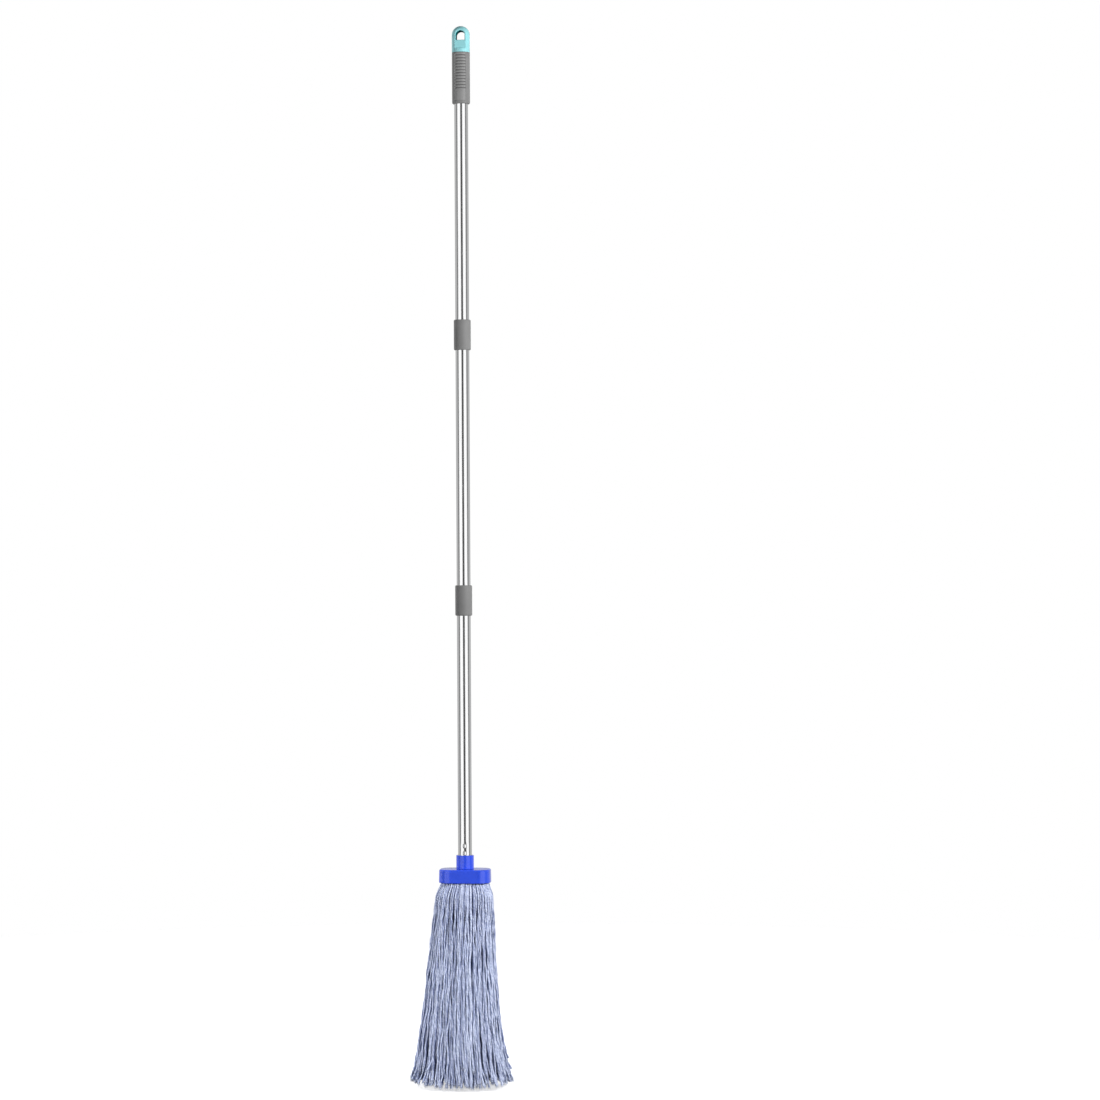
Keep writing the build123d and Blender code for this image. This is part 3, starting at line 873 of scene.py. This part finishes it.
class Bundle:
    """Collects strands into one mesh with the attributes that the cotton material reads."""

    def __init__(self):
        self.points, self.faces, self.thread, self.tone, self.hollow = [], [], [], [], []
        self.count = 0

    def add(self, points, faces, thread, tone, hollow):
        self.points.append(points)
        self.faces.append(np.asarray(faces, np.int32) + self.count)
        self.thread.append(thread)
        self.tone.append(tone)
        self.hollow.append(hollow)
        self.count += len(points)

    def tube(self, rings, thread, tone, hollow):
        """A tube of rings, closed at both ends by folding each end ring to its middle."""
        rows, columns = rings.shape[:2]
        ends = rings[[0, -1]].mean(1)
        points = np.concatenate([rings.reshape(-1, 3), ends])
        a = np.arange(columns)
        b = (a + 1) % columns
        last = (rows - 1) * columns
        quads = np.array(grid_faces(rows, columns), np.int32)[:, ::-1]
        top_middle = np.full(columns, rows * columns)
        foot_middle = top_middle + 1
        top = np.stack([a, b, top_middle, top_middle], 1)
        foot = np.stack([last + b, last + a, foot_middle, foot_middle], 1)
        thread = np.concatenate([thread.reshape(-1, 3), thread[[0, -1]].mean(1)])
        tone = np.concatenate([tone.ravel(), tone[[0, -1], 0]])
        hollow = np.concatenate([hollow.ravel(), [0.4, 0.9]])
        self.add(points, np.concatenate([quads, top, foot]), thread, tone, hollow)

    def strand(self, path, sunk, around, fibres):
        """A twisted strand along a path, with a frayed end. sunk is how deep it lies, row by row.
        The rings turn with the twist, so that each ply runs along its own columns of points."""
        tangent, side, front = cross_axes(path)
        run = np.concatenate([[0], np.cumsum(np.linalg.norm(np.diff(path, axis=0), axis=1))])
        left = run[-1] - run
        lay = np.linspace(0, 2 * math.pi, around, endpoint=False)[None, :]
        turn = 2 * math.pi * run / (twist_pitch * rng.uniform(*pitch_range))
        turn = turn + rng.uniform(0, 2 * math.pi)
        angle = lay + turn[:, None]
        fray = 1 - smoothstep(0, fray_run, left)
        plies = np.cos(ply_count * lay) + 0 * angle
        thick = strand_radius + radius_gain * smoothstep(0, gain_run, run)
        thick = thick * rng.uniform(*radius_range)
        thick = thick * (1 + 0.06 * np.sin(run / 7 + rng.uniform(0, 6))) * (1 + end_swell * fray)
        size = thick[:, None] * (1 + (ply_relief + frayed_relief * fray[:, None]) * plies)
        size[-1] *= 0.8
        rings = (
            path[:, None, :]
            + side[:, None, :] * (size * np.cos(angle))[..., None]
            + front[:, None, :] * (size * np.sin(angle))[..., None]
        )
        far = np.repeat((run / twist_pitch + rng.uniform(0, 500))[:, None], around, 1)
        thread = np.stack([np.cos(lay) + 0 * angle, np.sin(lay) + 0 * angle, far], -1)
        own = np.round(np.arange(around) * ply_count / around).astype(int) % ply_count
        tone = rng.uniform(*strand_tones) * rng.uniform(*ply_tones, ply_count)[own] + 0 * angle
        outward = path[:, :2] * (1.0, 1.7)
        outward /= np.maximum(np.linalg.norm(outward, axis=1), 1e-6)[:, None]
        facing = ((rings - path[:, None, :])[..., :2] * outward[:, None, :]).sum(-1) / size
        # Painted shade, as if less light reached the side that faces the pole, deep strands and the
        # hollows between plies
        painted_exposure = 0.14 + 0.86 * smoothstep(-0.15, 0.95, facing)
        painted_exposure = painted_exposure * (1 - 0.25 * smoothstep(1.8, 6.5, sunk))[:, None]
        painted_exposure = np.maximum(painted_exposure, fray[:, None] * 0.7)
        self.tube(rings, thread, tone, (0.38 + 0.62 * smoothstep(-1.0, 0.4, plies)) * painted_exposure)
        for _ in range(fibres):
            self.fibre(path[-1], tangent[-1], side[-1], front[-1], thick[-1], far[-1, 0])

    def fibre(self, end, tangent, side, front, thick, far):
        """A loose fibre at the cut end of a strand."""
        way = rng.uniform(0, 2 * math.pi)
        out = side * math.cos(way) + front * math.sin(way)
        root = end + out * thick * rng.uniform(0.1, 0.9) - tangent * rng.uniform(1.5, 5.0)
        length = rng.uniform(3.0, 6.5)
        splay = rng.uniform(0.05, 0.6)
        steps = np.linspace(0, 1, fibre_rows)
        curve = root + np.outer(steps * length, tangent) + np.outer(steps**2 * length * splay, out)
        curve[:, 2] = np.maximum(curve[:, 2], lowest_fibre)
        girth = fibre_radius * (1 - fibre_taper * steps)
        angle = np.arange(fibre_columns) * 2 * math.pi / fibre_columns
        rings = (
            curve[:, None, :]
            + side[None, None, :] * (girth[:, None] * np.cos(angle))[..., None]
            + front[None, None, :] * (girth[:, None] * np.sin(angle))[..., None]
        )
        spot = rng.uniform(-1, 1, 2)
        thread = np.empty(rings.shape)
        thread[...] = (spot[0], spot[1], far)
        tone = np.full(rings.shape[:2], rng.uniform(0.75, 1.0))
        self.tube(rings, thread, tone, np.full(rings.shape[:2], 0.95))

    def build(self, name):
        """The finished mesh object, in metres."""
        points = np.concatenate(self.points) * MM
        faces = np.concatenate(self.faces)
        is_triangle = faces[:, 2] == faces[:, 3]
        sizes = np.where(is_triangle, 3, 4)
        loops = faces[np.arange(4)[None, :] < sizes[:, None]]
        mesh = bpy.data.meshes.new(name)
        mesh.vertices.add(len(points))
        mesh.vertices.foreach_set("co", points.astype(np.float32).ravel())
        mesh.loops.add(len(loops))
        mesh.loops.foreach_set("vertex_index", loops.astype(np.int32))
        mesh.polygons.add(len(faces))
        starts = np.concatenate([[0], np.cumsum(sizes)[:-1]])
        mesh.polygons.foreach_set("loop_start", starts.astype(np.int32))
        mesh.update(calc_edges=True)
        mesh.validate()
        mesh.shade_smooth()
        thread = mesh.attributes.new("thread", "FLOAT_VECTOR", "POINT")
        thread.data.foreach_set("vector", np.concatenate(self.thread).astype(np.float32).ravel())
        for key, values in (("tone", self.tone), ("hollow", self.hollow)):
            attribute = mesh.attributes.new(key, "FLOAT", "POINT")
            attribute.data.foreach_set("value", np.concatenate(values).astype(np.float32))
        obj = bpy.data.objects.new(name, mesh)
        bpy.context.scene.collection.objects.link(obj)
        return obj


def lock_middles():
    """The direction of each lock from the pole, from the middle of its CAD solid at the hem."""
    out = {}
    for name in bodies:
        if name.startswith("yarn_lock"):
            points = np.array([v.co for v in nodes[name].data.vertices]) / MM
            near_floor = points[points[:, 2] < 20]
            out[name] = near_floor[:, :2].mean(0)
    return out


def nearest_lock(path, middles):
    """The lock that a strand belongs to, by its place near the hem. Depth counts for more."""
    place = path[int(len(path) * 0.8), :2]
    scale = np.array([1.0, 1.25])
    return min(middles, key=lambda name: np.linalg.norm((middles[name] - place) * scale))


middles = lock_middles()
bundles = {name: Bundle() for name in middles}
bundles["yarn_core_outer"], bundles["yarn_core_inner"] = Bundle(), Bundle()
for layer, count in enumerate(lock_layers):
    for k in range(count):
        share = (k + 0.5 * layer + rng.uniform(-0.35, 0.35)) / count
        path, sunk = strand_path(share, layer, core=False)
        lock = nearest_lock(path, middles)
        bundles[lock].strand(path, sunk, columns_by_layer[layer], lock_fibres)
for ring, count in enumerate(core_layers):
    layer = len(lock_layers) + ring
    part = "yarn_core_outer" if ring < core_outer_rings else "yarn_core_inner"
    for k in range(count):
        share = (k + rng.uniform(0, 1)) / count
        path, sunk = strand_path(share, layer, core=True)
        bundles[part].strand(path, sunk, columns_by_layer[layer], core_fibres)

for name, bundle in bundles.items():
    piece = paint(bundle.build("strands_" + name.replace("yarn_", "")), yarn_cotton)
    if name.startswith("yarn_core"):
        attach(piece, "head")
        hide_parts("yarn_core")
    else:
        hinge = next(j for j in joints.values() if j["child"] == name)
        start = Vector(hinge["pos_m"])
        end = start - Vector((0, 0, bend_length * MM))
        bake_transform(piece)
        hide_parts(name)

# ---------------------------------------------------------------- studio

scene = bpy.context.scene
scene.view_settings.view_transform = "Standard"
view_turn = math.radians(6.0)

floor_radius, floor_z, floor_corners = 2.2, -0.0005, 96
floor_turns = np.linspace(0, 2 * math.pi, floor_corners, endpoint=False)
floor_mesh = make_object(
    "floor",
    [(floor_radius * math.cos(t), floor_radius * math.sin(t), floor_z) for t in floor_turns],
    [list(range(floor_corners))],
)
floor_shader = Shader("floor_white")
floor_cloud = floor_shader.noise(floor_shader.coordinates((1, 1, 1)), scale=3, detail=2)
floor_shader.set("Base Color", floor_shader.ramp(floor_cloud, [(0.0, 0.76), (1.0, 0.79)]))
floor_shader.set("Emission Color", (1.0, 1.0, 1.0))
floor_shader.set("Emission Strength", 0.62)
floor_shader.set("Roughness", 0.9)
paint(floor_mesh, floor_shader.material)
floor_mesh.visible_diffuse = False
floor_mesh.visible_glossy = False
floor_mesh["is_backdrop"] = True

# The room is white to the camera. Mirror rays see two upright white panels, one on each side of a
# dark gap behind the camera, and grey walls. Diffuse rays see a soft grey room, brighter on the
# left.
world = bpy.data.worlds.new("studio")
scene.world = world
world.use_nodes = True
room = NodeMaker(world.node_tree)
room.tree.nodes.clear()


def world_light(colour):
    """Light of a plain colour or from a socket."""
    made = room.node("Background")
    if isinstance(colour, tuple):
        made.inputs["Color"].default_value = colour
    else:
        room.link(colour, made.inputs["Color"])
    return made.outputs["Background"]


def world_choice(factor, a, b):
    """Light a where the factor is 0 and b where it is 1."""
    made = room.node("MixShader")
    room.link(factor, made.inputs["Fac"])
    room.link(a, made.inputs[1])
    room.link(b, made.inputs[2])
    return made.outputs["Shader"]


direction = room.node("TexCoord").outputs["Generated"]
parts = room.node("SeparateXYZ")
room.link(direction, parts.inputs["Vector"])
facing = room.maths("MULTIPLY", parts.outputs["Y"], -1.0)
azimuth = room.maths("ARCTAN2", parts.outputs["X"], facing)
azimuth = room.maths("SUBTRACT", azimuth, view_turn)
half_turn_share = room.maths("DIVIDE", room.maths("ABSOLUTE", azimuth), math.pi)
turns = room.maths("DIVIDE", azimuth, 2 * math.pi)
turn_share = room.maths("FRACT", room.maths("ADD", turns, 0.5))
# Grey levels seen by mirror rays: 0 is behind the camera and 1 behind the mop, round either side
mirror_stops = (
    (0.0, 0.10),
    (0.07, 0.13),
    (0.115, 1.55),
    (0.335, 1.55),
    (0.40, 0.34),
    (0.45, 0.15),
    (0.52, 0.55),
    (0.60, 0.72),
    (0.80, 0.62),
    (0.94, 0.60),
    (1.0, 0.65),
)
# Grey levels seen by diffuse rays, once round the room from behind the mop: the left is at 0.25,
# the camera's side at 0.5 and the right at 0.75
room_stops = (
    (0.0, 0.4),
    (0.1, 0.8),
    (0.25, 0.8),
    (0.34, 0.10),
    (0.5, 0.06),
    (0.62, 0.15),
    (0.9, 0.3),
)
# Mirror rays that go steeply up see a dark ceiling, and steeply down a grey floor
steep_from, steep_full = 0.45, 0.75
ceiling_level, ground_level = 0.12, 0.45
overhead = room.node("MapRange", From_Min=steep_from, From_Max=steep_full)
room.link(room.maths("ABSOLUTE", parts.outputs["Z"]), overhead.inputs["Value"])
level_light = room.ramp(half_turn_share, mirror_stops)
upward = room.maths("GREATER_THAN", parts.outputs["Z"], 0.0)
darker_above = room.maths("MULTIPLY", upward, ground_level - ceiling_level)
steep_light = room.maths("SUBTRACT", ground_level, darker_above)
mirrored = room.mix(overhead.outputs["Result"], level_light, steep_light)
rays = room.node("LightPath")
mirror_light = world_light(mirrored)
room_light = world_light(room.ramp(turn_share, room_stops))
lit = world_choice(rays.outputs["Is Diffuse Ray"], mirror_light, room_light)
white = world_light((1.0, 1.0, 1.0, 1.0))
shown = world_choice(rays.outputs["Is Camera Ray"], lit, white)
room.link(shown, room.node("OutputWorld").inputs["Surface"])


def lamp(name, kind, azimuth, height, distance, target, **settings):
    """A soft lamp that shines at a height on the pole, from an azimuth in degrees (0 is the front,
    more is to the right), a height and a distance in metres. Polished pieces don't mirror it."""
    data = bpy.data.lights.new(name, kind)
    for key, value in settings.items():
        setattr(data, key, value)
    made = bpy.data.objects.new(name, data)
    scene.collection.objects.link(made)
    turn = math.radians(azimuth)
    made.location = (distance * math.sin(turn), -distance * math.cos(turn), height)
    aim = Vector((0, 0, target)) - made.location
    made.rotation_euler = aim.to_track_quat("-Z", "Y").to_euler()
    made.visible_glossy = False


for name, azimuth, height, target, tall, energy in (
    ("key", 50, 1.15, 1.0, 0.8, 54),
    ("rim", -100, 0.8, 0.75, 1.6, 20),
):
    shape = {"shape": "RECTANGLE", "size": 0.5, "size_y": tall}
    lamp(name, "AREA", azimuth, height, 1.8, target, energy=energy, **shape)
lamp(
    "head_light",
    "SPOT",
    azimuth=-46,
    height=0.55,
    distance=1.5,
    target=0.12,
    energy=56,
    spot_size=math.radians(30),
    spot_blend=1.0,
    shadow_soft_size=0.25,
)

# Camera: level, at half height, a little round to the right of the front. Distances in metres;
# the lens, sensor and shift put the whole mop where the picture has it.
cam_data = bpy.data.cameras.new("camera")
cam_data.sensor_width = 36
cam_data.lens = 113
cam_data.shift_x = 0.0787
camera = bpy.data.objects.new("camera", cam_data)
scene.collection.objects.link(camera)
cam_distance, cam_height, cam_roll = 5.0, 0.778, math.radians(-0.3)
cam_x, cam_y = cam_distance * math.sin(view_turn), -cam_distance * math.cos(view_turn)
camera.location = (cam_x, cam_y, cam_height)
camera.rotation_euler = (math.pi / 2, 0, view_turn)
camera.rotation_euler.rotate_axis("Z", cam_roll)
cam_data.clip_end = 60
scene.camera = camera

low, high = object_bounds()
